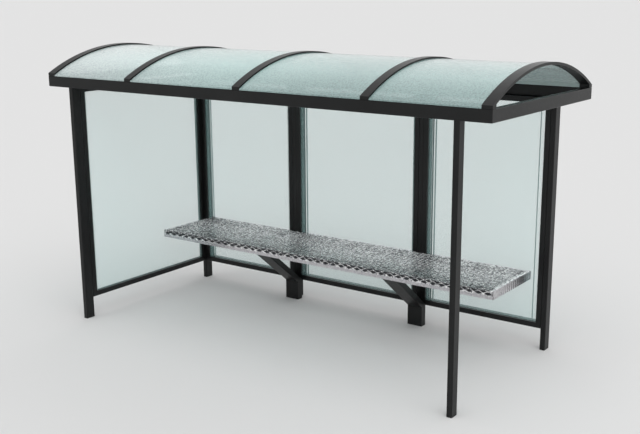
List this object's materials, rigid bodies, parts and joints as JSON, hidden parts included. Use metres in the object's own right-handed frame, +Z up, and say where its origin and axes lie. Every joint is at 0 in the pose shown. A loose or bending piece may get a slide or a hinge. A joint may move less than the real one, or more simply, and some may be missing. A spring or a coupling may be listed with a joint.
{
  "type": "bus shelter",
  "caption": "Street shelter with a barrel roof of curved panes on an eave frame and posts, glazed back and left end, open front and right end, and a bench.",
  "frame": {"origin": "on the floor, under the middle of the roof's length and depth", "axes": "+X along the shelter towards its open right end, +Y to the glazed back, +Z up"},
  "size_m": [4.15, 1.65, 2.3478],
  "materials": {
    "frame_paint": "satin powder coat, near black",
    "roof_glass": "pale green, finely stippled, glossy",
    "wall_glass": "pale green, clear and glossy",
    "seat_metal": "bright galvanised mesh sheet",
    "seal_rubber": "matt black seal"
  },
  "bodies": {
    "root": {"front_beam": "frame_paint", "back_beam": "frame_paint", "left_end_beam": "frame_paint", "right_end_beam": "frame_paint", "roof_rib_left_end": "frame_paint", "roof_rib_left": "frame_paint", "roof_rib_middle": "frame_paint", "roof_rib_right": "frame_paint", "roof_rib_right_end": "frame_paint", "roof_pane_left_end": "roof_glass", "roof_pane_left": "roof_glass", "roof_pane_right": "roof_glass", "roof_pane_right_end": "roof_glass", "front_roof_seal": "seal_rubber", "back_roof_seal": "seal_rubber", "front_left_post": "frame_paint", "front_right_post": "frame_paint", "back_left_post": "frame_paint", "back_mid_left_post": "frame_paint", "back_mid_right_post": "frame_paint", "back_right_post": "frame_paint", "left_end_pane": "wall_glass", "back_left_pane": "wall_glass", "back_middle_pane": "wall_glass", "back_right_pane": "wall_glass", "left_end_bottom_rail": "frame_paint", "back_left_bottom_rail": "frame_paint", "back_middle_bottom_rail": "frame_paint", "back_right_bottom_rail": "frame_paint", "left_end_top_rail": "frame_paint", "back_left_top_rail": "frame_paint", "back_middle_top_rail": "frame_paint", "back_right_top_rail": "frame_paint", "left_end_channels": "frame_paint", "back_left_channels": "frame_paint", "back_middle_channels": "frame_paint", "back_right_channels": "frame_paint", "bench_seat": "seat_metal", "left_bracket_leg": "frame_paint", "left_bracket_arm": "frame_paint", "right_bracket_leg": "frame_paint", "right_bracket_arm": "frame_paint"}
  },
  "joints": []
}
